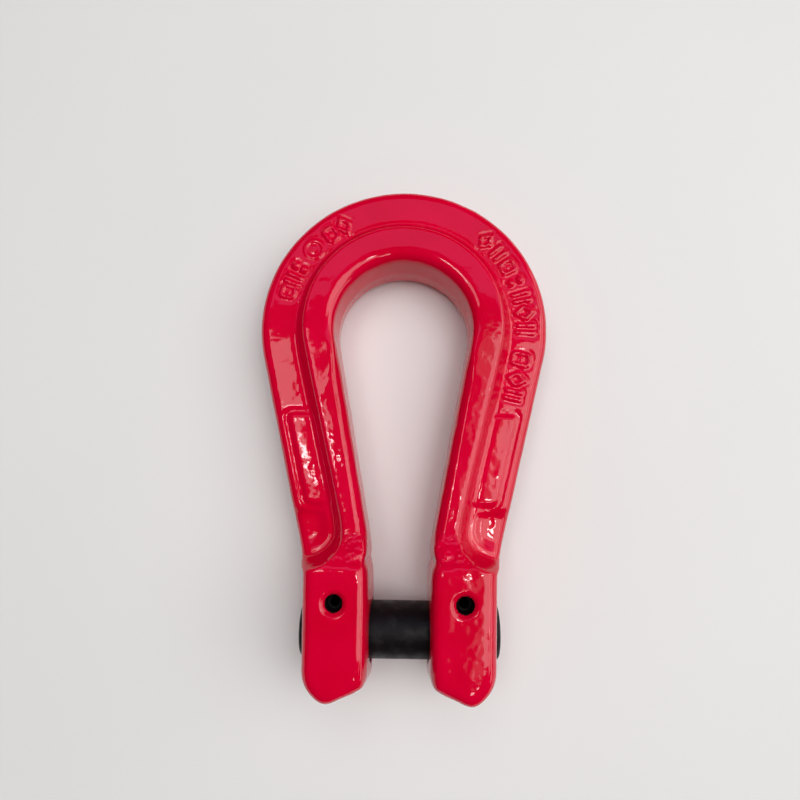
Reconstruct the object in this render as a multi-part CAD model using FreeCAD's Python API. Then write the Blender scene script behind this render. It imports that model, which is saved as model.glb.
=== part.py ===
"""Clevis dee shackle: a forged bow with two ears, a load pin and its two retaining pins.

Frame, in millimetres: X runs along the load pin, Y from the load pin to the crown of the bow,
Z square to the parting plane of the forging, which is Z = 0. The origin is the middle of the
load pin. Everything is symmetric about X = 0 and Z = 0.
"""
import FreeCAD, Part
import math
import os

V = FreeCAD.Vector

# Load pin: a plain steel pin with a round groove where each retaining pin passes it.
LOAD_PIN_DIAMETER = 11.8
LOAD_PIN_LENGTH = 41.6
LOAD_PIN_END_RADIUS = 1.1
RUNNING_CLEARANCE = 0.1

# Retaining pins: slotted spring pins driven into the ears beside the load pin.
RETAINING_DIAMETER = 3.5
RETAINING_LENGTH = 16.0
RETAINING_WALL = 0.7
RETAINING_SLOT = 0.9
RETAINING_CHAMFER = 0.35
RETAINING_X = 13.1
RETAINING_Y = 6.85

# Bow: a flat flange outside, a thick rounded bead inside, and straight flared legs. The bead's
# outer foot follows the outer outline, so the bead is widest at the crown.
OUTER_RADIUS = 32.7
OUTER_CENTRE_Y = 65.9
OUTER_FLARE = 13.55
INNER_RADIUS = 14.6
INNER_CENTRE_Y = 64.9
INNER_FLARE = 10.6
FLANGE_WIDTH = 8.4
FLANGE_HALF_THICKNESS = 4.6
FLANGE_EDGE_RADIUS = 2.2
BEAD_HALF_THICKNESS = 8.0
BEAD_STEP_WIDTH = 2.4
BEAD_OUTER_EDGE_RADIUS = 1.2
BEAD_INNER_EDGE_RADIUS = 2.4
FOOT_Y = 16.0

# Ears: thick clevis lugs around the load pin, with a blunt nose at the outer third of the end.
JAW_GAP = 11.6
EAR_OUTER_X = 20.4
EAR_HALF_THICKNESS = 11.5
EAR_TOP_Y = 17.6
EAR_EDGE_RADIUS = 1.8
RAMP_START_Y = 14.2
RAMP_ANGLE = 36.0

# Lower end of the ear on the parting plane: the outline's sharp corners and their radii.
JAW_CORNER_Y = -11.2
JAW_CORNER_RADIUS = 3.6
HEEL_X = 10.4
HEEL_Y = -12.0
HEEL_RADIUS = 6.0
NOSE_X = 14.2
NOSE_Y = -14.4
NOSE_RADIUS = 3.4
OUTER_CORNER_Y = -10.9
OUTER_CORNER_RADIUS = 5.6
EAR_SHOULDER_RADIUS = 3.0
THROAT_RADIUS = 1.2

# Shoulder: fills the flange between leg and ear, below a round-bottomed pocket.
SHOULDER_HALF_THICKNESS = 7.6
POCKET_RADIUS = 5.8
POCKET_X = 20.0
POCKET_Y = 21.5

# Pads: raised panels on the flange of each leg, on both faces.
PAD_WIDTH = 4.6
PAD_LENGTH = 19.5
PAD_HEIGHT = 0.5
PAD_CENTRE_Y = 36.0
PAD_CORNER_RADIUS = 1.4
PAD_EDGE_MARGIN = 5.7

DRAFT = 5.0
BORE_CHAMFER = 0.8
PIN_HOLE_CHAMFER = 0.55

# Slack for telling edges apart by their height and extent.
TOLERANCE = 1e-4

DRAFT_SLOPE = math.tan(math.radians(DRAFT))
MIRROR_X = V(1, 0, 0)
MIRROR_Z = V(0, 0, 1)
ORIGIN = V(0, 0, 0)


def mirrored(shape, normal):
    """Return the shape joined with its mirror image across the plane through the origin."""
    return shape.fuse(shape.mirror(ORIGIN, normal))


def inset_corner(before, corner, after, inset):
    """Move a corner of an anticlockwise outline inwards, keeping its two sides parallel."""
    side_in = (corner - before).normalize()
    side_out = (after - corner).normalize()
    normal_in = V(-side_in.y, side_in.x, 0)
    normal_out = V(-side_out.y, side_out.x, 0)
    return corner + (normal_in + normal_out) * (inset / (1 + normal_in.dot(normal_out)))


def rounded_wire(corners, inset, z):
    """Closed wire through (x, y, radius) corners, anticlockwise, inset and lifted to z."""
    count = len(corners)
    points = [V(x, y, 0) for x, y, radius in corners]
    moved = [inset_corner(points[i - 1], points[i], points[(i + 1) % count], inset) for i in range(count)]
    edges = []
    joins = []
    for i in range(count):
        before = (moved[i - 1] - moved[i]).normalize()
        after = (moved[(i + 1) % count] - moved[i]).normalize()
        convex = before.cross(after).z < 0
        radius = corners[i][2] - inset if convex else corners[i][2] + inset
        half_angle = before.getAngle(after) / 2
        reach = radius / math.tan(half_angle)
        middle = (before + after).normalize() * (radius / math.sin(half_angle) - radius)
        joins.append((moved[i] + before * reach, moved[i] + middle, moved[i] + after * reach))
    for i in range(count):
        start, middle, end = joins[i]
        edges.append(Part.Arc(start, middle, end).toShape())
        edges.append(Part.makeLine(end, joins[(i + 1) % count][0]))
    wire = Part.Wire(edges)
    wire.translate(V(0, 0, z))
    return wire


def bow_wire(radius, centre_y, flare, foot_y, z):
    """Closed wire of the crown arc, two legs tangent to it, and a straight foot between them."""
    angle = math.radians(flare)
    tangent = V(radius * math.cos(angle), centre_y - radius * math.sin(angle), z)
    foot = V(tangent.x - (tangent.y - foot_y) * math.tan(angle), foot_y, z)
    crown = V(0, centre_y + radius, z)
    left_tangent = V(-tangent.x, tangent.y, z)
    left_foot = V(-foot.x, foot.y, z)
    return Part.Wire([
        Part.makeLine(foot, tangent),
        Part.Arc(tangent, crown, left_tangent).toShape(),
        Part.makeLine(left_tangent, left_foot),
        Part.makeLine(left_foot, foot),
    ])


def outer_wire(inset, foot_y, z):
    """The bow's outer outline, inset and lifted to z."""
    return bow_wire(OUTER_RADIUS - inset, OUTER_CENTRE_Y, OUTER_FLARE, foot_y, z)


def inner_wire(outset, foot_y, z):
    """The outline of the bow's opening, grown into the metal and lifted to z."""
    return bow_wire(INNER_RADIUS + outset, INNER_CENTRE_Y, INNER_FLARE, foot_y, z)


def rim_edges(solid, z, foot_y, widest=OUTER_RADIUS):
    """Edges of the solid that lie wholly at height z, reach above foot_y and stay within widest."""
    return [
        edge for edge in solid.Edges
        if all(abs(vertex.Z - z) < TOLERANCE for vertex in edge.Vertexes)
        and edge.BoundBox.YMax > foot_y + TOLERANCE
        and edge.BoundBox.XMax < widest + TOLERANCE
        and edge.BoundBox.XMin > -widest - TOLERANCE
    ]


def flange_half():
    """Half of the bow's outer flange, above the parting plane, with its rim rounded."""
    inset = FLANGE_HALF_THICKNESS * DRAFT_SLOPE
    lower = outer_wire(0, FOOT_Y, 0)
    upper = outer_wire(inset, FOOT_Y, FLANGE_HALF_THICKNESS)
    half = Part.makeLoft([lower, upper], True, True)
    return half.makeFillet(FLANGE_EDGE_RADIUS, rim_edges(half, FLANGE_HALF_THICKNESS, FOOT_Y))


def bead_half():
    """Half of the thick inner rib: it steps up from the flange and is well rounded to the inside."""
    lower = outer_wire(FLANGE_WIDTH, FOOT_Y, 0)
    middle = outer_wire(FLANGE_WIDTH, FOOT_Y, FLANGE_HALF_THICKNESS)
    upper = outer_wire(FLANGE_WIDTH + BEAD_STEP_WIDTH, FOOT_Y, BEAD_HALF_THICKNESS)
    half = Part.makeLoft([lower, middle, upper], True, True)
    return half.makeFillet(BEAD_OUTER_EDGE_RADIUS, rim_edges(half, BEAD_HALF_THICKNESS, FOOT_Y))


def bow():
    """Flange and bead together, with the drafted opening cut through and its edges rounded."""
    mouth_outset = BEAD_HALF_THICKNESS * DRAFT_SLOPE
    throat = inner_wire(0, 0, 0)
    mouth = inner_wire(mouth_outset, 0, BEAD_HALF_THICKNESS)
    half = flange_half().fuse(bead_half()).cut(Part.makeLoft([throat, mouth], True, True))
    rim = rim_edges(half, BEAD_HALF_THICKNESS, FOOT_Y, INNER_RADIUS + mouth_outset)
    return mirrored(half.makeFillet(BEAD_INNER_EDGE_RADIUS, rim), MIRROR_Z)


def ear_corners():
    """Outline of the right ear on the parting plane, anticlockwise from its jaw-side foot."""
    jaw_x = JAW_GAP / 2
    return [
        (jaw_x, JAW_CORNER_Y, JAW_CORNER_RADIUS),
        (HEEL_X, HEEL_Y, HEEL_RADIUS),
        (NOSE_X, NOSE_Y, NOSE_RADIUS),
        (EAR_OUTER_X, OUTER_CORNER_Y, OUTER_CORNER_RADIUS),
        (EAR_OUTER_X, EAR_TOP_Y, EAR_SHOULDER_RADIUS),
        (jaw_x, EAR_TOP_Y, THROAT_RADIUS),
    ]


def right_ear():
    """Right clevis ear: drafted lug with rounded rims and a ramp down to the leg."""
    corners = ear_corners()
    inset = EAR_HALF_THICKNESS * DRAFT_SLOPE
    half = Part.makeLoft(
        [rounded_wire(corners, 0, 0), rounded_wire(corners, inset, EAR_HALF_THICKNESS)], True, True
    )
    half = half.makeFillet(EAR_EDGE_RADIUS, rim_edges(half, EAR_HALF_THICKNESS, -EAR_OUTER_X))
    ramp = Part.makeBox(2 * EAR_OUTER_X, EAR_OUTER_X, EAR_HALF_THICKNESS)
    ramp.rotate(ORIGIN, MIRROR_X, -RAMP_ANGLE)
    ramp.translate(V(0, RAMP_START_Y, EAR_HALF_THICKNESS))
    return mirrored(half.cut(ramp), MIRROR_Z)


def right_shoulder():
    """Thick web between the bead and the leg's outer edge, ending in the pocket's round bottom."""
    bead_x = JAW_GAP
    foot_y = RAMP_START_Y
    floor_y = POCKET_Y - POCKET_RADIUS
    side_x = POCKET_X - POCKET_RADIUS
    top_y = POCKET_Y + POCKET_RADIUS
    diagonal = POCKET_RADIUS * math.sqrt(0.5)
    floor = V(POCKET_X, floor_y, 0)
    corner = V(POCKET_X - diagonal, POCKET_Y - diagonal, 0)
    side = V(side_x, POCKET_Y, 0)
    edges = [
        Part.makeLine(V(bead_x, foot_y, 0), V(EAR_OUTER_X, foot_y, 0)),
        Part.makeLine(V(EAR_OUTER_X, foot_y, 0), V(EAR_OUTER_X, floor_y, 0)),
        Part.makeLine(V(EAR_OUTER_X, floor_y, 0), floor),
        Part.Arc(floor, corner, side).toShape(),
        Part.makeLine(side, V(side_x, top_y, 0)),
        Part.makeLine(V(side_x, top_y, 0), V(bead_x, foot_y, 0)),
    ]
    half = Part.Face(Part.Wire(edges)).extrude(V(0, 0, SHOULDER_HALF_THICKNESS))
    return mirrored(half, MIRROR_Z)


def right_pad():
    """Raised panel on the right leg's flange, on both faces, parallel to the leg's outer edge."""
    half_width = PAD_WIDTH / 2
    half_length = PAD_LENGTH / 2
    corners = [
        (-half_width, -half_length, PAD_CORNER_RADIUS),
        (half_width, -half_length, PAD_CORNER_RADIUS),
        (half_width, half_length, PAD_CORNER_RADIUS),
        (-half_width, half_length, PAD_CORNER_RADIUS),
    ]
    angle = math.radians(OUTER_FLARE)
    edge_x = (OUTER_RADIUS - (OUTER_CENTRE_Y - PAD_CENTRE_Y) * math.sin(angle)) / math.cos(angle)
    half = Part.Face(rounded_wire(corners, 0, 0)).extrude(V(0, 0, FLANGE_HALF_THICKNESS + PAD_HEIGHT))
    half.rotate(ORIGIN, V(0, 0, 1), -OUTER_FLARE)
    half.translate(V(edge_x - PAD_EDGE_MARGIN / math.cos(angle), PAD_CENTRE_Y, 0))
    return mirrored(half, MIRROR_Z)


def bore_cutter():
    """Load pin bore through both ears, chamfered where it opens into the jaw."""
    radius = LOAD_PIN_DIAMETER / 2 + RUNNING_CLEARANCE
    half_length = EAR_OUTER_X + BORE_CHAMFER
    bore = Part.makeCylinder(radius, 2 * half_length, V(-half_length, 0, 0), V(1, 0, 0))
    mouth_x = JAW_GAP / 2 - BORE_CHAMFER
    mouth = Part.makeCone(
        radius + 2 * BORE_CHAMFER, radius, 2 * BORE_CHAMFER, V(mouth_x, 0, 0), V(1, 0, 0)
    )
    return bore.fuse([mouth, mouth.mirror(ORIGIN, MIRROR_X)])


def pin_hole_cutter(x):
    """Retaining pin hole right through one ear, countersunk at both faces."""
    radius = RETAINING_DIAMETER / 2
    hole = Part.makeCylinder(radius, 2 * EAR_HALF_THICKNESS, V(x, RETAINING_Y, -EAR_HALF_THICKNESS))
    countersink = Part.makeCone(
        radius, radius + PIN_HOLE_CHAMFER, PIN_HOLE_CHAMFER,
        V(x, RETAINING_Y, EAR_HALF_THICKNESS - PIN_HOLE_CHAMFER),
    )
    return hole.fuse(mirrored(countersink, MIRROR_Z))


def shackle_body():
    """The forging: flange, bead, shoulders, ears and pads in one, with its holes."""
    right_side = right_ear().fuse([right_shoulder(), right_pad()])
    solid = bow().fuse([right_side, right_side.mirror(ORIGIN, MIRROR_X)])
    cutters = [bore_cutter(), pin_hole_cutter(RETAINING_X), pin_hole_cutter(-RETAINING_X)]
    return solid.cut(cutters).removeSplitter()


def load_pin():
    """Straight pin along X with rounded ends and a round groove at each retaining pin."""
    radius = LOAD_PIN_DIAMETER / 2
    shaft = Part.makeCylinder(radius, LOAD_PIN_LENGTH, V(-LOAD_PIN_LENGTH / 2, 0, 0), V(1, 0, 0))
    rims = [edge for edge in shaft.Edges if isinstance(edge.Curve, Part.Circle)]
    shaft = shaft.makeFillet(LOAD_PIN_END_RADIUS, rims)
    groove_radius = RETAINING_DIAMETER / 2 + RUNNING_CLEARANCE
    grooves = [
        Part.makeTorus(RETAINING_Y, groove_radius, V(x, 0, 0), V(1, 0, 0))
        for x in (-RETAINING_X, RETAINING_X)
    ]
    return shaft.cut(grooves)


def retaining_pin(x):
    """Slotted spring pin along Z with chamfered ends, its slot turned away from the load pin."""
    radius = RETAINING_DIAMETER / 2
    base = V(x, RETAINING_Y, -RETAINING_LENGTH / 2)
    tube = Part.makeCylinder(radius, RETAINING_LENGTH, base)
    rims = [edge for edge in tube.Edges if isinstance(edge.Curve, Part.Circle)]
    tube = tube.makeChamfer(RETAINING_CHAMFER, rims)
    core = Part.makeCylinder(radius - RETAINING_WALL, RETAINING_LENGTH, base)
    slot = Part.makeBox(
        RETAINING_SLOT, RETAINING_DIAMETER, RETAINING_LENGTH, base - V(RETAINING_SLOT / 2, 0, 0)
    )
    return tube.cut([core, slot])


def main():
    nodes = {
        "shackle_body": shackle_body(),
        "load_pin": load_pin(),
        "retaining_pin_left": retaining_pin(-RETAINING_X),
        "retaining_pin_right": retaining_pin(RETAINING_X),
    }
    os.makedirs("parts", exist_ok=True)
    for name, shape in nodes.items():
        box = shape.BoundBox
        print(
            f"{name}: solids {len(shape.Solids)}, valid {shape.isValid()}, volume {shape.Volume:.0f} mm3,"
            f" size {box.XLength:.2f} x {box.YLength:.2f} x {box.ZLength:.2f}"
        )
        shape.exportStep(f"parts/{name}.step")


main()
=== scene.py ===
"""Looks of the clevis dee shackle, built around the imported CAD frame.

The painted forging is meshed here from one implicit function, so that every edge is softly
rounded like thick paint over a drop forging. The pins keep their CAD shapes.
Lengths in this file are millimetres unless a name says otherwise; MM turns them into metres.
"""

import math

import bpy
import numpy as np
from mathutils import Matrix, Vector


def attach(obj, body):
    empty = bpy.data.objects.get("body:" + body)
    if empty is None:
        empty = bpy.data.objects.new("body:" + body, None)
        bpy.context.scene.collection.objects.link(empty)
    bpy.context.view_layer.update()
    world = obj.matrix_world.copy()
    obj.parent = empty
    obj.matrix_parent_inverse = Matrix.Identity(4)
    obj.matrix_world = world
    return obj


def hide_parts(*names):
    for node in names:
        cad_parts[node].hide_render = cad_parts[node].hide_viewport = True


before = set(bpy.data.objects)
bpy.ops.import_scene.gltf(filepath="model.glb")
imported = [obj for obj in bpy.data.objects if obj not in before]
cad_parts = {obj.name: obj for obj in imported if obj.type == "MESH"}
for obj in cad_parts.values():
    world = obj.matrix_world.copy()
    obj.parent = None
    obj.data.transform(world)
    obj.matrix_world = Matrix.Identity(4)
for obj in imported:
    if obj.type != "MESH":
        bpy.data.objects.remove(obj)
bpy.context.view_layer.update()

MM = 0.001

# Grid that the forging is meshed on. Its planes miss the flat faces of flange, pads, bead and ears.
MESH_STEP = 0.5075
LOW_CORNER = (-33.4, -15.2, -24 * MESH_STEP)
HIGH_CORNER = (33.5, 99.7, 12.4)

# How far the finer mesh reaches around each feature.
FINE_ALONG_MARK = 2.3
FINE_ACROSS_MARK = 2.9
FINE_BELOW_FLANGE = 1.0
FINE_AROUND_RAMP = 0.5
FINE_BELOW_BEAD = 0.8
FINE_AROUND_HOLE = 3.4
FINE_BELOW_EAR = 1.6
FINE_BESIDE_BEVEL = 0.75
FINE_BEVEL_Y = (20.0, 56.0)

# ---------------------------------------------------------------- the forging's dimensions
# X runs along the load pin, Y up to the crown, Z up from the parting plane. Both halves are alike.
OUTER_RADIUS = 32.5
OUTER_CENTRE_Y = 65.9
OUTER_FLARE = math.radians(13.55)
INNER_RADIUS = 14.8
INNER_CENTRE_Y = 64.75
INNER_FLARE = math.radians(10.6)
PLAN_ROUNDING = 4.6
DRAFT = math.tan(math.radians(5.0))
PARTING_RIDGE = 0.12
PARTING_RIDGE_WIDTH = 0.45

# Heights in Y where the section changes, and the lengths over which it does.
CROWN_Y = 52.0
CROWN_BLEND = 24.0
LOWER_LEG_Y = 40.0
EAR_BLEND_Y = 21.0
EAR_BLEND = 6.0
SIDE_BLEND = 3.0

# Flange, and the groove at the foot of the bead.
FLANGE_TOP = 4.6
FLANGE_ROUNDING = 2.4
FLANGE_WIDTH = 8.7
LEG_FLANGE_WIDTH = 8.1
FOOT_GROOVE = 0.16
FOOT_GROOVE_PLACE = 0.1
FOOT_GROOVE_WIDTH = 0.38

# Bead, with the bevel that faces the opening on the legs.
BEAD_TOP = 7.95
BEAD_STEP = 2.3
LEG_BEAD_STEP = 2.9
LEG_WALL_DRAFT = math.tan(math.radians(3.0))
LEG_SHOULDER_ROUNDING = 0.9
CROWN_ROUNDING = 2.9
BEVEL_ANGLE = math.radians(45.0)
BEVEL_TOP_INSET = 1.9
BEVEL_ROUNDING = 0.4
BEVEL_FADE = 3.0

# Ears, where the legs run into them, and the jaw between them.
EAR_TOP = 11.4
EAR_INNER_X = 5.75
EAR_OUTER_X = 20.25
EAR_END_Y = -11.5
EAR_INNER_ROUNDING = 2.2
EAR_OUTER_ROUNDING = 2.6
EAR_TAPER = 0.02
EAR_FLAT_MIDDLE_X = 12.9
EAR_FLAT_HALF_WIDTH = 5.0
EAR_EASE_SLOPE = math.tan(math.radians(10.0))
EAR_EASE_ROUNDING = 0.5
EAR_CORNER_ROUNDING = 4.9
EAR_SHOULDER_Y = 17.0
EAR_SHOULDER_ROUNDING = 3.0
LEG_END_Y = 13.0
LEG_END_ROUNDING = 1.0
LEG_TO_EAR_FILLET = 1.6
JAW_DRAFT = math.tan(math.radians(3.5))
JAW_FILLET = 1.5
NOSE_X = 14.4
NOSE_RISE = 1.75
NOSE_WIDTH = 3.2
RAMP_FOOT_Y = 19.4
RAMP_SLOPE = 0.62
RAMP_TOP_ROUNDING = 0.5
RAMP_FOOT_ROUNDING = 1.0

# Pocket in the flange beside the ramp.
POCKET_X = 20.0
POCKET_Y = 21.5
POCKET_RADIUS = 5.8
POCKET_ROUNDING = 1.0
POCKET_DEPTH = 1.0
POCKET_SIDE = 3.5
POCKET_END_Y = 26.0
POCKET_END_LENGTH = 2.5

# Raised pad on each leg with the moat around it, and the slightly raised flange of the crown.
PAD_CENTRE_Y = 36.0
PAD_EDGE_DISTANCE = 6.3
PAD_HALF_WIDTH = 2.6
PAD_HALF_LENGTH = 9.8
PAD_CORNER = 1.0
PAD_RISE = 0.42
PAD_SIDE = 0.8
PAD_MOAT = 0.25
PAD_MOAT_PLACE = 0.9
PAD_MOAT_WIDTH = 0.5
PAD_MOAT_END = 7.2
PLATEAU_END = 13.8
PLATEAU_SIDE = 0.6
PLATEAU_RISE = 0.16

# Bores of the load pin and holes of the retaining pins.
BORE_RADIUS = 6.0
BORE_START_X = 3.0
BORE_MOUTH_RADIUS = 6.75
BORE_MOUTH_LENGTH = 1.5
BORE_ROUNDING = 0.5
NO_BORE = -10.0
PIN_HOLE_RADIUS = 1.72
PIN_HOLE_X = 13.1
PIN_HOLE_Y = 6.85
PIN_HOLE_ROUNDING = 0.45
COUNTERSINK_SLOPE = 0.85
COUNTERSINK_DEPTH = 0.9

# Raised generic marks on the upper face of the flange, in a row at one distance from its edge.
MARK_EDGE_DISTANCE = 5.4
MARK_REACH = 3.4
MARK_RISE = 0.6
MARK_SIDE = 0.5
MARK_MOAT = 0.12
MARK_MOAT_PLACE = 0.55
MARK_MOAT_WIDTH = 0.3
STROKE = 0.34
BAR_DISTANCE = 0.85
BAR_HALF_WIDTH = 0.36
BAR_CORNER = 0.3
LOZENGE_STEEPNESS = 1.35
LOZENGE_SLANT = 1.68
LOZENGE_INSET = 0.1
CELL_HALF_WIDTH = 1.25
CELL_INSET = 0.35
CELL_CORNER = 0.7
CELL_DOT_RADIUS = 0.3
DOT_RADIUS = 0.8
DOT_PLACE_SHARE = 0.55
RING_INSET = 0.25
RING_STROKE = 0.22
RING_RISE_SHARE = 0.3

# Each mark: side of the bow, place along the flange from the foot of the crown arc (down the leg
# is positive), shape, and size across the flange.
MARKS = [
    (1, -28.6, "lozenge", 1.9),
    (1, -24.6, "bars", 1.9),
    (1, -20.7, "cell", 1.9),
    (1, -16.9, "dots", 2.0),
    (1, -13.0, "bars", 2.1),
    (1, -9.4, "lozenge", 2.1),
    (1, -5.6, "bars", 2.1),
    (1, 1.4, "cell", 2.2),
    (1, 6.0, "lozenge", 2.0),
    (1, 9.6, "bars", 2.0),
    (-1, -34.4, "lozenge", 2.1),
    (-1, -30.9, "cell", 2.0),
    (-1, -25.6, "ring", 2.3),
    (-1, -20.2, "dots", 1.9),
    (-1, -17.1, "bars", 1.9),
    (-1, -14.0, "cell", 1.8),
]

# Blisters where the thick paint gathered on the rough ramp above each ear.
CRATERS_PER_RAMP = 64
CRATER_ZONE = ((7.8, 17.6), (14.4, 20.4))
CRATER_REACH = 1
CRATER_RADII = (0.28, 0.62)
CRATER_STRENGTHS = (0.4, 1.0)
CRATER_RIM = 1.7
CRATER_HOLLOW = 0.5
CRATER_HEIGHT = 0.17
CRATER_SEED = 40

# Slow unevenness of the forged surface under the paint.
SLOW_WAVE_HEIGHT = 0.012
SLOW_WAVELENGTH = 9.0
SHORT_WAVE_HEIGHT = 0.006
SHORT_WAVELENGTH = 3.6


def clamp(value, low, high):
    return np.minimum(np.maximum(value, low), high)


def smooth_step(t):
    t = clamp(t, 0.0, 1.0)
    return t * t * (3.0 - 2.0 * t)


def soft_max(a, b, k):
    """Larger of two distances, with the corner between them rounded over about k."""
    overlap = np.maximum(k - np.abs(a - b), 0.0)
    return np.maximum(a, b) + overlap * overlap / (4.0 * k)


def soft_min(a, b, k):
    return -soft_max(-a, -b, k)


def crown_share(y):
    """How much of the section at this height is the crown's, from 0 on the legs to 1."""
    return smooth_step((y - CROWN_Y) / CROWN_BLEND)


def depth_from_outline(x, y, radius, centre_y, flare):
    """Signed distance outside a crown arc that runs on into two straight flared legs."""
    dy = y - centre_y
    along_leg = -x * math.sin(flare) - dy * math.cos(flare)
    from_leg = x * math.cos(flare) - dy * math.sin(flare)
    return np.where(along_leg > 0, from_leg, np.hypot(x, dy)) - radius


def along_flange(x, y):
    """Distance along the middle of the flange: negative round the crown, positive down the leg."""
    dy = y - OUTER_CENTRE_Y
    along_leg = -x * math.sin(OUTER_FLARE) - dy * math.cos(OUTER_FLARE)
    angle = np.arctan2(dy, x) + OUTER_FLARE
    return np.where(along_leg > 0, along_leg, -angle * (OUTER_RADIUS - MARK_EDGE_DISTANCE))


def box_distance(u, v, half_u, half_v, corner):
    """Signed distance to a rectangle with rounded corners."""
    du = np.abs(u) - half_u + corner
    dv = np.abs(v) - half_v + corner
    beyond = np.hypot(np.maximum(du, 0), np.maximum(dv, 0))
    return beyond + np.minimum(np.maximum(du, dv), 0) - corner


def pad_distance(x, y, from_edge):
    """Signed distance to the rounded rectangle of a leg's pad, in the plane of the flange."""
    along = (y - PAD_CENTRE_Y) / math.cos(OUTER_FLARE)
    across = from_edge - PAD_EDGE_DISTANCE
    return box_distance(along, across, PAD_HALF_LENGTH, PAD_HALF_WIDTH, PAD_CORNER)


def mark_distance(u, v, shape, size):
    """Signed distance to one generic mark, centred on (u, v) = (0, 0), size across the flange."""
    if shape == "bars":
        return box_distance(np.abs(u) - BAR_DISTANCE, v, BAR_HALF_WIDTH, size, BAR_CORNER)
    if shape == "lozenge":
        to_side = (np.abs(u) * LOZENGE_STEEPNESS + np.abs(v) - size) / LOZENGE_SLANT
        return np.abs(to_side + LOZENGE_INSET) - STROKE
    if shape == "cell":
        to_wall = box_distance(u, v, CELL_HALF_WIDTH, size - CELL_INSET, CELL_CORNER)
        return np.minimum(np.abs(to_wall) - STROKE, np.hypot(u, v) - CELL_DOT_RADIUS)
    if shape == "dots":
        return np.hypot(u, np.abs(v) - DOT_PLACE_SHARE * size) - DOT_RADIUS
    return np.abs(np.hypot(u, v) - size + RING_INSET) - RING_STROKE


def marks_height(side, x, y, from_edge):
    """Height that the raised marks add to the flange, with the thin moat of paint around them."""
    along = along_flange(x, y)
    across = from_edge - MARK_EDGE_DISTANCE
    height = np.zeros_like(along)
    for mark_side, place, shape, size in MARKS:
        near = (np.abs(along - place) < MARK_REACH) & (np.abs(across) < MARK_REACH)
        near &= side * mark_side > 0
        distance = mark_distance(along[near] - place, across[near], shape, size)
        rise = MARK_RISE * (RING_RISE_SHARE if shape == "ring" else 1.0)
        moat = MARK_MOAT * np.exp(-((distance - MARK_MOAT_PLACE) / MARK_MOAT_WIDTH) ** 2)
        height[near] += rise * smooth_step(0.5 - distance / MARK_SIDE) - moat
    return height


def waves(p, seed, wavelength, count=7):
    """Slow irregular waves of about unit height, from a few sine waves in seeded directions."""
    random = np.random.RandomState(seed)
    total = 0.0
    for _ in range(count):
        direction = random.normal(size=3)
        direction *= 2 * math.pi / wavelength * random.uniform(0.7, 1.4) / np.linalg.norm(direction)
        total = total + np.sin(p @ direction + random.uniform(0, 2 * math.pi))
    return total / math.sqrt(count / 2)


def crater_list(seed):
    """Seeded places, radii and heights of the blisters on the ramp of one ear."""
    random = np.random.RandomState(seed)
    ranges = (*CRATER_ZONE, CRATER_RADII, CRATER_STRENGTHS)
    return [[random.uniform(*limits) for limits in ranges] for _ in range(CRATERS_PER_RAMP)]


def craters_height(side, upper, x, y):
    """Blisters with sunken middles, a different set on each of the four ramps."""
    height = np.zeros_like(x)
    (x0, x1), (y0, y1) = CRATER_ZONE
    in_reach = (x > x0 - CRATER_REACH) & (x < x1 + CRATER_REACH)
    in_reach &= (y > y0 - CRATER_REACH) & (y < y1 + CRATER_REACH)
    for number, (right, top) in enumerate(((1, 1), (-1, 1), (1, -1), (-1, -1))):
        zone = (side * right > 0) & (upper * top > 0) & in_reach
        u, v = x[zone], y[zone]
        total = np.zeros_like(u)
        for cx, cy, radius, strength in crater_list(CRATER_SEED + number):
            r2 = ((u - cx) ** 2 + (v - cy) ** 2) / radius ** 2
            total += strength * (CRATER_RIM * r2 - CRATER_HOLLOW) * np.exp(-r2)
        height[zone] = CRATER_HEIGHT * total
    return height


def face_height(side, upper, x, y, from_edge, fine):
    """Height of the forging's face above the parting plane: flange, bead, pockets, ramps, ears."""
    crown = crown_share(y)
    rim = POCKET_RADIUS - np.hypot(np.minimum(x - POCKET_X, 0), np.minimum(y - POCKET_Y, 0))
    on_flange = LEG_FLANGE_WIDTH + (FLANGE_WIDTH - LEG_FLANGE_WIDTH) * crown - from_edge
    step = LEG_BEAD_STEP + (BEAD_STEP - LEG_BEAD_STEP) * crown
    rounded_end = soft_min(on_flange, rim, POCKET_ROUNDING)
    on_flange = np.where(y < LOWER_LEG_Y, rounded_end, on_flange)
    pad = pad_distance(x, y, from_edge)
    scoop = smooth_step(on_flange / POCKET_SIDE) * smooth_step((POCKET_END_Y - y) / POCKET_END_LENGTH)
    low = FLANGE_TOP - POCKET_DEPTH * scoop
    low = low + PAD_RISE * smooth_step(0.5 - pad / PAD_SIDE)
    beside_flat = np.abs(x - EAR_FLAT_MIDDLE_X) - EAR_FLAT_HALF_WIDTH
    ear_face = EAR_TOP - EAR_EASE_SLOPE * soft_max(beside_flat, 0.0, EAR_EASE_ROUNDING)
    ramp = BEAD_TOP + RAMP_SLOPE * (RAMP_FOOT_Y - y)
    high = soft_min(ear_face, ramp, RAMP_TOP_ROUNDING)
    high = soft_max(high, BEAD_TOP, RAMP_FOOT_ROUNDING)
    if fine:
        moat = PAD_MOAT * smooth_step(PAD_MOAT_END - from_edge)
        low = low - moat * np.exp(-((pad - PAD_MOAT_PLACE) / PAD_MOAT_WIDTH) ** 2)
        low = low - FOOT_GROOVE * np.exp(-((on_flange - FOOT_GROOVE_PLACE) / FOOT_GROOVE_WIDTH) ** 2)
        low = low + PLATEAU_RISE * smooth_step((PLATEAU_END - along_flange(x, y)) / PLATEAU_SIDE)
        low = low + np.where(upper > 0, marks_height(side, x, y, from_edge), 0.0)
        high = high + craters_height(side, upper, x, y)
    return high + (low - high) * smooth_step(on_flange / step + 1.0)


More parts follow.
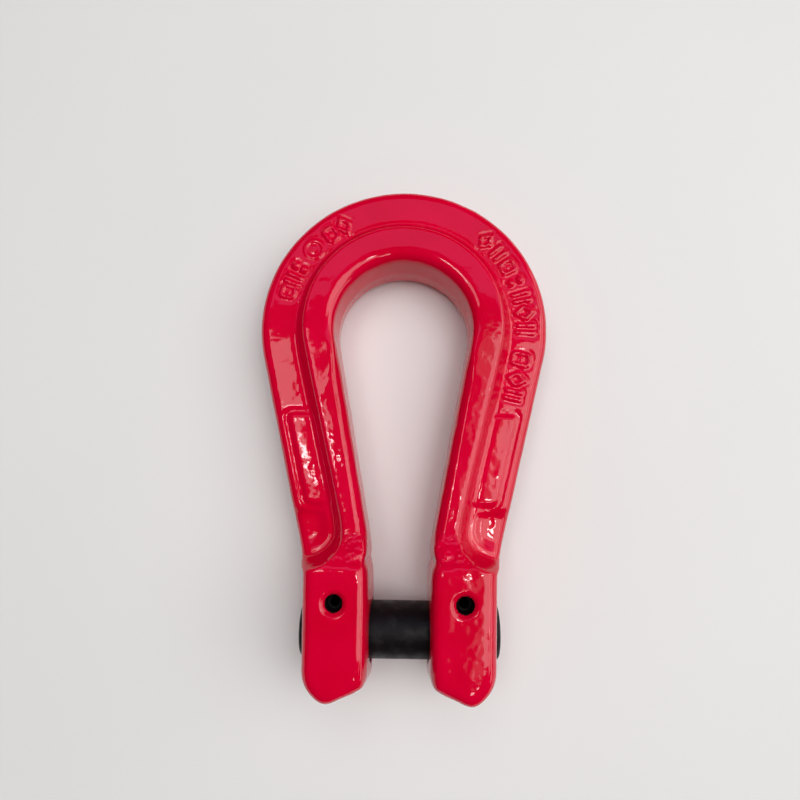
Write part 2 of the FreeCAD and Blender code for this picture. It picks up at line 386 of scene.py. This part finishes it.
def forging(p, fine=True):
    """Implicit function of the painted forging: negative inside, zero on its skin.

    Without its fine detail it still has every edge, step and hole, but no marks, blisters or waves.
    """
    x = np.abs(p[..., 0])
    y = p[..., 1]
    z = np.abs(p[..., 2])
    from_opening = depth_from_outline(x, y, INNER_RADIUS, INNER_CENTRE_Y, INNER_FLARE)
    from_edge = -depth_from_outline(x, y, OUTER_RADIUS, OUTER_CENTRE_Y, OUTER_FLARE)

    end_y = EAR_END_Y - NOSE_RISE * np.exp(-((x - NOSE_X) / NOSE_WIDTH) ** 2)
    ear = soft_max(x - EAR_OUTER_X - EAR_TAPER * y, end_y - y, EAR_CORNER_ROUNDING)
    ear = soft_max(ear, y - EAR_SHOULDER_Y, EAR_SHOULDER_ROUNDING)
    leg = soft_max(-from_edge, LEG_END_Y - y, LEG_END_ROUNDING)
    outside = soft_min(leg, ear, LEG_TO_EAR_FILLET)
    with_jaw = soft_max(-from_opening, EAR_INNER_X - x, JAW_FILLET)
    inside = np.where(y < LOWER_LEG_Y, with_jaw, -from_opening)
    plan = soft_max(outside, inside, PLAN_ROUNDING)

    crown = crown_share(y)
    on_ear = smooth_step((EAR_BLEND_Y - y) / EAR_BLEND)
    facing_in = smooth_step((inside - outside) / SIDE_BLEND + 0.5)
    outer_rounding = FLANGE_ROUNDING + (EAR_OUTER_ROUNDING - FLANGE_ROUNDING) * on_ear
    inner_rounding = LEG_SHOULDER_ROUNDING + (CROWN_ROUNDING - LEG_SHOULDER_ROUNDING) * crown
    inner_rounding = inner_rounding + (EAR_INNER_ROUNDING - LEG_SHOULDER_ROUNDING) * on_ear
    rounding = outer_rounding + (inner_rounding - outer_rounding) * facing_in
    inner_draft = LEG_WALL_DRAFT + (DRAFT - LEG_WALL_DRAFT) * crown
    inner_draft = inner_draft + (JAW_DRAFT - inner_draft) * on_ear
    ridge = PARTING_RIDGE * np.exp(-((z / PARTING_RIDGE_WIDTH) ** 2))
    wall = DRAFT * z - ridge + (inner_draft * z - DRAFT * z + ridge) * facing_in
    face = z - face_height(p[..., 0], p[..., 2], x, y, from_edge, fine)
    bevel = (z - BEAD_TOP) * math.cos(BEVEL_ANGLE) + (inside + BEVEL_TOP_INSET) * math.sin(BEVEL_ANGLE)
    face = soft_max(face, bevel - BEVEL_FADE * (crown + on_ear), BEVEL_ROUNDING)
    body = soft_max(face, plan + wall, rounding)

    mouth = smooth_step((EAR_INNER_X + BORE_MOUTH_LENGTH - x) / BORE_MOUTH_LENGTH)
    bore = BORE_RADIUS + (BORE_MOUTH_RADIUS - BORE_RADIUS) * mouth - np.hypot(y, z)
    bore = np.where(x > BORE_START_X, bore, NO_BORE)
    body = soft_max(body, bore, BORE_ROUNDING)
    widening = clamp(z - EAR_TOP + COUNTERSINK_DEPTH, 0.0, COUNTERSINK_DEPTH)
    from_hole = np.hypot(x - PIN_HOLE_X, y - PIN_HOLE_Y)
    hole = PIN_HOLE_RADIUS + COUNTERSINK_SLOPE * widening - from_hole
    body = soft_max(body, hole, PIN_HOLE_ROUNDING)
    if fine:
        slow = SLOW_WAVE_HEIGHT * waves(p, seed=1, wavelength=SLOW_WAVELENGTH)
        short = SHORT_WAVE_HEIGHT * waves(p, seed=2, wavelength=SHORT_WAVELENGTH)
        body = body + slow + short
    return body


def smooth_forging(p):
    """The forging without its fine detail."""
    return forging(p, fine=False)


# ---------------------------------------------------------------- meshing an implicit function
def surface_net(function, low, high, step):
    """Cell-centred vertices and quads around the zero level of function on a regular grid."""
    axes = [np.arange(low[i], high[i] + step, step) for i in range(3)]
    shape = [len(a) for a in axes]
    inside = np.zeros(shape, bool)
    for i, x in enumerate(axes[0]):
        plane = np.stack(np.broadcast_arrays(x, axes[1][:, None], axes[2][None, :]), -1)
        inside[i] = function(plane) < 0
    corners = sum(
        inside[i:shape[0] - 1 + i, j:shape[1] - 1 + j, k:shape[2] - 1 + k].astype(np.int8)
        for i in (0, 1) for j in (0, 1) for k in (0, 1)
    )
    crossed = (corners > 0) & (corners < 8)
    index = np.full(crossed.shape, -1)
    index[crossed] = np.arange(crossed.sum())
    points = (np.argwhere(crossed) + 0.5) * step + np.array(low)
    quads = []
    for axis in range(3):
        u, v = (axis + 1) % 3, (axis + 2) % 3
        here = np.moveaxis(inside, axis, 0)
        change = np.argwhere(here[1:] != here[:-1])
        order = [axis] + [a for a in range(3) if a != axis]
        edge = np.empty_like(change)
        for column, a in enumerate(order):
            edge[:, a] = change[:, column]
        edge = edge[(edge[:, u] > 0) & (edge[:, v] > 0)]
        cells = []
        for du, dv in ((-1, -1), (0, -1), (0, 0), (-1, 0)):
            cell = edge.copy()
            cell[:, u] += du
            cell[:, v] += dv
            cells.append(index[tuple(cell.T)])
        quad = np.stack(cells, 1)
        starts_outside = ~inside[tuple(edge.T)]
        quad[starts_outside] = quad[starts_outside][:, ::-1]
        quads.append(quad)
    return points, np.concatenate(quads)


def gradient(function, points):
    """Slope of function at each point, from central differences."""
    eps = 0.02
    columns = []
    for axis in range(3):
        offset = np.zeros(3)
        offset[axis] = eps
        columns.append((function(points + offset) - function(points - offset)) / (2 * eps))
    return np.stack(columns, 1)


def onto_surface(function, points, rounds, longest):
    """Newton steps along the gradient, each no longer than longest, on to the zero level."""
    for _ in range(rounds):
        slope = gradient(function, points)
        length2 = np.maximum((slope * slope).sum(1), 1e-6)
        move = -slope * (function(points) / length2)[:, None]
        size = np.linalg.norm(move, axis=1)
        move *= np.minimum(1.0, longest / np.maximum(size, 1e-9))[:, None]
        points = points + move
    return points


def relaxed(points, sides):
    """Move each point half way to the mean of its neighbours at the other ends of its sides."""
    total = np.zeros_like(points)
    count = np.zeros(len(points))
    for start, end in ((sides[:, 0], sides[:, 1]), (sides[:, 1], sides[:, 0])):
        np.add.at(total, start, points[end])
        np.add.at(count, start, 1)
    return points + 0.5 * (total / np.maximum(count, 1)[:, None] - points)


def face_sides(faces):
    return np.array([(face[i - 1], face[i]) for face in faces for i in range(len(face))])


def split_faces(points, faces, chosen):
    """Split each chosen quad into four; a neighbour that isn't split takes in the new side points."""
    middles = {}
    new_points = list(points)

    def middle(a, b):
        key = (min(a, b), max(a, b))
        if key not in middles:
            middles[key] = len(new_points)
            new_points.append((points[a] + points[b]) / 2)
        return middles[key]

    result = []
    for face, wanted in zip(faces, chosen):
        if wanted and len(face) == 4:
            centre = len(new_points)
            new_points.append(points[list(face)].mean(0))
            around = [middle(face[i], face[(i + 1) % 4]) for i in range(4)]
            result.extend((around[i - 1], face[i], around[i], centre) for i in range(4))
        else:
            result.append(None)
    position = 0
    for face, wanted in zip(faces, chosen):
        if wanted and len(face) == 4:
            position += 4
            continue
        ring = []
        for i, corner in enumerate(face):
            ring.append(corner)
            following = face[(i + 1) % len(face)]
            key = (min(corner, following), max(corner, following))
            if key in middles:
                ring.append(middles[key])
        result[position] = tuple(ring)
        position += 1
    return np.array(new_points), result


def needs_detail(centres):
    """True where the mesh has to be finer: marks, ramps, pin holes and the legs' inner bevels."""
    x = np.abs(centres[:, 0])
    y = centres[:, 1]
    z = centres[:, 2]
    from_edge = -depth_from_outline(x, y, OUTER_RADIUS, OUTER_CENTRE_Y, OUTER_FLARE)
    along = along_flange(x, y)
    beside_mark = np.zeros(len(centres), bool)
    for side, place, _, _ in MARKS:
        beside_mark |= (centres[:, 0] * side > 0) & (np.abs(along - place) < FINE_ALONG_MARK)
    beside_mark &= np.abs(from_edge - MARK_EDGE_DISTANCE) < FINE_ACROSS_MARK
    beside_mark &= z > FLANGE_TOP - FINE_BELOW_FLANGE
    at_bead_height = np.abs(z) > BEAD_TOP - FINE_BELOW_BEAD
    (x0, x1), (y0, y1) = CRATER_ZONE
    on_ramp = (x > x0 - FINE_AROUND_RAMP) & (x < x1 + FINE_AROUND_RAMP) & at_bead_height
    on_ramp &= (y > y0 - FINE_AROUND_RAMP) & (y < y1 + FINE_AROUND_RAMP)
    from_hole = np.hypot(x - PIN_HOLE_X, y - PIN_HOLE_Y)
    at_hole = (from_hole < FINE_AROUND_HOLE) & (np.abs(z) > EAR_TOP - FINE_BELOW_EAR)
    inside = -depth_from_outline(x, y, INNER_RADIUS, INNER_CENTRE_Y, INNER_FLARE)
    at_bevel = (np.abs(inside + BEVEL_TOP_INSET) < FINE_BESIDE_BEVEL) & at_bead_height
    at_bevel &= (y > FINE_BEVEL_Y[0]) & (y < FINE_BEVEL_Y[1])
    return beside_mark | on_ramp | at_hole | at_bevel


def mesh_of(smooth, detailed, low, high, step, wanted):
    """Closed mesh of even quads on the smooth shape, split where wanted and moved on to detailed."""
    points, quads = surface_net(smooth, low, high, step)
    points = onto_surface(smooth, points, rounds=4, longest=step)
    sides = face_sides(quads)
    for _ in range(3):
        points = onto_surface(smooth, relaxed(points, sides), rounds=2, longest=step)
    points, faces = split_faces(points, quads, wanted(points[quads].mean(1)))
    return onto_surface(detailed, points, rounds=5, longest=0.3 * step), faces


def blender_mesh(name, points, faces):
    mesh = bpy.data.meshes.new(name)
    mesh.from_pydata((points * MM).tolist(), [], faces)
    mesh.polygons.foreach_set("use_smooth", [True] * len(mesh.polygons))
    mesh.update()
    piece = bpy.data.objects.new(name, mesh)
    bpy.context.scene.collection.objects.link(piece)
    return piece


# ---------------------------------------------------------------- materials
def new_material(name):
    material = bpy.data.materials.new(name)
    material.use_nodes = True
    tree = material.node_tree
    return material, tree, tree.nodes["Principled BSDF"]


def noise_node(tree, scale, detail, coordinates):
    node = tree.nodes.new("ShaderNodeTexNoise")
    node.inputs["Scale"].default_value = scale
    node.inputs["Detail"].default_value = detail
    tree.links.new(coordinates, node.inputs["Vector"])
    return node


def ramp_node(tree, source, start, end):
    """Colour ramp between two stops, each a position and a colour."""
    node = tree.nodes.new("ShaderNodeValToRGB")
    first, last = node.color_ramp.elements
    first.position, first.color = start
    last.position, last.color = end
    tree.links.new(source, node.inputs["Fac"])
    return node


def bump_node(tree, height, strength, distance, under=None):
    node = tree.nodes.new("ShaderNodeBump")
    node.inputs["Strength"].default_value = strength
    node.inputs["Distance"].default_value = distance
    tree.links.new(height, node.inputs["Height"])
    if under:
        tree.links.new(under.outputs["Normal"], node.inputs["Normal"])
    return node


def rgb(red, green, blue):
    return (red, green, blue, 1)


def grey(value):
    return rgb(value, value, value)


def red_paint():
    """Thick glossy crimson paint with orange peel and slow waves left by the forging under it.

    The slow waves are stronger on the legs and ears than on the crown.
    """
    material, tree, shader = new_material("red_paint")
    place = tree.nodes.new("ShaderNodeTexCoord").outputs["Object"]
    tint = noise_node(tree, 90.0, 3.0, place).outputs["Fac"]
    color = ramp_node(tree, tint, (0.35, rgb(0.63, 0.0, 0.023)), (0.7, rgb(0.70, 0.0, 0.032)))
    tree.links.new(color.outputs["Color"], shader.inputs["Base Color"])
    waves_under = noise_node(tree, 380.0, 1.0, place).outputs["Fac"]
    peel = noise_node(tree, 1100.0, 2.0, place).outputs["Fac"]
    split = tree.nodes.new("ShaderNodeSeparateXYZ")
    tree.links.new(place, split.inputs["Vector"])
    on_legs = tree.nodes.new("ShaderNodeMapRange")
    tree.links.new(split.outputs["Y"], on_legs.inputs["Value"])
    on_legs.inputs["From Min"].default_value = 46 * MM
    on_legs.inputs["From Max"].default_value = 56 * MM
    on_legs.inputs["To Min"].default_value = 1.0
    on_legs.inputs["To Max"].default_value = 0.35
    slow = bump_node(tree, waves_under, 1.0, 0.11 * MM)
    tree.links.new(on_legs.outputs["Result"], slow.inputs["Strength"])
    fine = bump_node(tree, peel, 0.3, 0.03 * MM, slow)
    tree.links.new(fine.outputs["Normal"], shader.inputs["Normal"])
    tree.links.new(fine.outputs["Normal"], shader.inputs["Coat Normal"])
    rough = ramp_node(tree, peel, (0.3, grey(0.4)), (0.7, grey(0.55)))
    tree.links.new(rough.outputs["Color"], shader.inputs["Roughness"])
    shader.inputs["Specular IOR Level"].default_value = 0.0
    shader.inputs["Coat Weight"].default_value = 1.0
    shader.inputs["Coat Roughness"].default_value = 0.05
    shader.inputs["Coat IOR"].default_value = 1.48
    return material


def black_steel():
    """Matte black oxide on turned steel, with faint scratches rubbed brighter."""
    material, tree, shader = new_material("black_steel")
    place = tree.nodes.new("ShaderNodeTexCoord").outputs["Object"]
    stretch = tree.nodes.new("ShaderNodeMapping")
    stretch.inputs["Scale"].default_value = (0.12, 1.0, 1.0)
    tree.links.new(place, stretch.inputs["Vector"])
    grain = noise_node(tree, 1500.0, 4.0, stretch.outputs["Vector"]).outputs["Fac"]
    wear = noise_node(tree, 420.0, 5.0, place).outputs["Fac"]
    color = ramp_node(tree, wear, (0.5, rgb(0.004, 0.003, 0.0033)), (0.78, rgb(0.018, 0.016, 0.017)))
    tree.links.new(color.outputs["Color"], shader.inputs["Base Color"])
    rough = ramp_node(tree, wear, (0.4, grey(0.55)), (0.75, grey(0.38)))
    tree.links.new(rough.outputs["Color"], shader.inputs["Roughness"])
    shader.inputs["Specular IOR Level"].default_value = 0.22
    bump = bump_node(tree, grain, 0.35, 0.03 * MM)
    tree.links.new(bump.outputs["Normal"], shader.inputs["Normal"])
    return material


def bare_steel_and_painted_hole_shade():
    """Unpainted oxidised steel inside the bores, almost black, dull and grainy; kept this dark as
    painted shade, so that the holes and the sunken retaining pins read as black.
    """
    material, tree, shader = new_material("bare_steel_and_painted_hole_shade")
    place = tree.nodes.new("ShaderNodeTexCoord").outputs["Object"]
    grain = noise_node(tree, 1300.0, 4.0, place).outputs["Fac"]
    color = ramp_node(tree, grain, (0.35, rgb(0.004, 0.003, 0.003)), (0.75, rgb(0.013, 0.009, 0.009)))
    tree.links.new(color.outputs["Color"], shader.inputs["Base Color"])
    shader.inputs["Roughness"].default_value = 0.85
    shader.inputs["Specular IOR Level"].default_value = 0.08
    bump = bump_node(tree, grain, 0.5, 0.05 * MM)
    tree.links.new(bump.outputs["Normal"], shader.inputs["Normal"])
    return material


def pale_table():
    """Smooth off-white table top, very slightly uneven in tone."""
    material, tree, shader = new_material("pale_table")
    place = tree.nodes.new("ShaderNodeTexCoord").outputs["Object"]
    tint = noise_node(tree, 9.0, 2.0, place).outputs["Fac"]
    color = ramp_node(tree, tint, (0.3, rgb(0.785, 0.768, 0.756)), (0.7, rgb(0.805, 0.788, 0.776)))
    tree.links.new(color.outputs["Color"], shader.inputs["Base Color"])
    shader.inputs["Roughness"].default_value = 0.6
    shader.inputs["Specular IOR Level"].default_value = 0.3
    return material


# ---------------------------------------------------------------- pieces
# Where the paint ends at the bores and the retaining pin holes; the faces beyond take bare steel kept
# near black as painted shade in the holes.
JAW_MARGIN = 0.2
BORE_MARGIN = 0.15
MOUTH_MARGIN = 0.1
PIN_HOLE_MARGIN = 0.3
PAINT_IN_PIN_HOLE = 0.75

paint = red_paint()
steel = black_steel()
# near-black bare steel for the bores, which also paints the shade in the pin holes and on the sunken
# retaining pins
scale = bare_steel_and_painted_hole_shade()


def inside_a_hole(centres):
    """True for the faces of the bores and the retaining pin holes that the paint doesn't reach; they
    take bare steel kept near black as painted shade.
    """
    x = np.abs(centres[:, 0])
    z = np.abs(centres[:, 2])
    from_axis = np.hypot(centres[:, 1], centres[:, 2])
    in_ear = x > EAR_INNER_X - JAW_MARGIN
    in_bore = (from_axis < BORE_RADIUS + BORE_MARGIN) & in_ear
    in_mouth = (from_axis < BORE_MOUTH_RADIUS - MOUTH_MARGIN) & in_ear
    in_mouth &= x < EAR_INNER_X + BORE_MOUTH_LENGTH
    from_hole = np.hypot(x - PIN_HOLE_X, centres[:, 1] - PIN_HOLE_Y)
    in_hole = (from_hole < PIN_HOLE_RADIUS + PIN_HOLE_MARGIN) & (z < EAR_TOP - PAINT_IN_PIN_HOLE)
    return in_bore | in_mouth | in_hole


def add_forging():
    """The painted forging as one closed mesh, in place of the plain CAD solid."""
    points, faces = mesh_of(smooth_forging, forging, LOW_CORNER, HIGH_CORNER, MESH_STEP, needs_detail)
    piece = blender_mesh("forged_body", points, faces)
    piece.data.materials.append(paint)
    # second material: bare steel kept near black as painted shade inside the bores and pin holes
    piece.data.materials.append(scale)
    centres = np.array([points[list(face)].mean(0) for face in faces])
    piece.data.polygons.foreach_set("material_index", inside_a_hole(centres).astype(np.int32))
    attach(piece, "forging")
    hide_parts("shackle_body")


def finish_pins():
    """The pins keep their CAD shapes: black oxide on the load pin; the sunken retaining pins take the
    near-black dull material as painted shade at the bottom of their holes.
    """
    # the retaining pins are kept near black as painted shade deep in their holes
    finishes = {"load_pin": steel, "retaining_pin_left": scale, "retaining_pin_right": scale}
    for name, finish in finishes.items():
        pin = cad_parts[name]
        pin.data.materials.clear()
        pin.data.materials.append(finish)


# ---------------------------------------------------------------- table, camera and light
CAMERA_PLACE = (2.0, 28.3, 134.7)
CAMERA_TURNS = (("Z", 0.6), ("X", 9.0), ("Y", 1.0))

# The table and the lights are given in metres.
TABLE_SIZE = 6.0
CEILING_HEIGHT = 1.0
SHACKLE_MIDDLE = (0, 0.04, 0)
WHITE = (1, 1, 1)


def add_table():
    """Table under the shackle as it lies: on the ears' edges by the legs and on the bead's crown."""
    ear_contact_y = 13.0
    crest_width = 4.0
    crown_contact_y = OUTER_CENTRE_Y + OUTER_RADIUS - FLANGE_WIDTH - crest_width
    slope = math.atan2(EAR_TOP - BEAD_TOP, crown_contact_y - ear_contact_y)
    gap = 0.1
    place = (0, ear_contact_y * MM, -(EAR_TOP + gap) * MM)
    bpy.ops.mesh.primitive_plane_add(size=TABLE_SIZE, location=place)
    table = bpy.context.object
    table.name = "table"
    table.rotation_euler = (slope, 0, 0)
    table.data.materials.append(pale_table())


def add_camera():
    """A phone held close above the shackle, leaning a little towards the crown."""
    data = bpy.data.cameras.new("camera")
    data.sensor_width = 36.0
    data.lens = 27.05
    data.clip_start = 0.005
    camera = bpy.data.objects.new("camera", data)
    bpy.context.scene.collection.objects.link(camera)
    place = Matrix.Translation([value * MM for value in CAMERA_PLACE])
    for axis, degrees in CAMERA_TURNS:
        place = place @ Matrix.Rotation(math.radians(degrees), 4, axis)
    camera.matrix_world = place
    bpy.context.scene.camera = camera


def add_panel(name, place, size, radiance, color=WHITE, aim=SHACKLE_MIDDLE):
    """Rectangular soft light that shines from place to aim with the given brightness."""
    data = bpy.data.lights.new(name, "AREA")
    data.shape = "RECTANGLE"
    data.size, data.size_y = size
    data.energy = radiance * math.pi * size[0] * size[1]
    data.color = color
    light = bpy.data.objects.new(name, data)
    bpy.context.scene.collection.objects.link(light)
    light.location = place
    direction = Vector(aim) - Vector(place)
    light.rotation_euler = direction.to_track_quat("-Z", "Y").to_euler()
    return light


def add_ceiling_panel(name, x, y, radiance, color=WHITE):
    """Panel flat under the ceiling that faces straight down, given by its edges in X and in Y."""
    middle = ((x[0] + x[1]) / 2, (y[0] + y[1]) / 2)
    size = (x[1] - x[0], y[1] - y[0])
    return add_panel(name, (*middle, CEILING_HEIGHT), size, radiance, color, aim=(*middle, 0))


def add_light():
    """Pale room with a bright ceiling to the right, small lamps for the highlights and a soft fill."""
    world = bpy.data.worlds.new("studio")
    bpy.context.scene.world = world
    world.use_nodes = True
    background = world.node_tree.nodes["Background"]
    background.inputs["Color"].default_value = (0.96, 0.97, 1.0, 1)
    background.inputs["Strength"].default_value = 0.15
    world.cycles_visibility.glossy = False
    add_ceiling_panel("ceiling_right", x=(0.17, 0.75), y=(-0.3, 0.34), radiance=2.8)
    add_ceiling_panel("ceiling_right_edge", x=(0.12, 0.17), y=(-0.3, 0.34), radiance=0.6)
    add_ceiling_panel("ceiling_far_right", x=(0.75, 2.0), y=(-0.5, 0.8), radiance=1.9)
    add_ceiling_panel("ceiling_left", x=(-0.45, -0.18), y=(0.0, 0.32), radiance=2.6)
    add_panel("lamp", place=(-0.22, 0.1, 0.98), size=(0.03, 0.15), radiance=22.0)
    add_panel("pocket_lamp", place=(0.155, -0.045, 1.0), size=(0.06, 0.045), radiance=30.0)
    add_panel("pocket_ramp_lamp", place=(0.17, -0.42, 1.0), size=(0.07, 0.1), radiance=9.0)
    bluish = (0.5, 0.42, 1.0)
    only_reflected = [
        add_ceiling_panel("ceiling_back", x=(-0.6, 0.7), y=(0.42, 0.85), radiance=0.8, color=bluish),
        add_panel("window", place=(1.25, 0.15, 0.42), size=(1.8, 0.36), radiance=2.4),
        add_panel("strip", place=(1.0, 0.1, 1.0), size=(0.9, 0.05), radiance=9.0),
    ]
    for light in only_reflected:
        light.visible_diffuse = False
    fill = add_panel("fill", place=(0.15, 0.38, 1.6), size=(1.6, 1.6), radiance=1.58)
    fill.visible_glossy = False


add_forging()
finish_pins()
add_table()
add_camera()
add_light()
bpy.context.scene.view_settings.view_transform = "Standard"
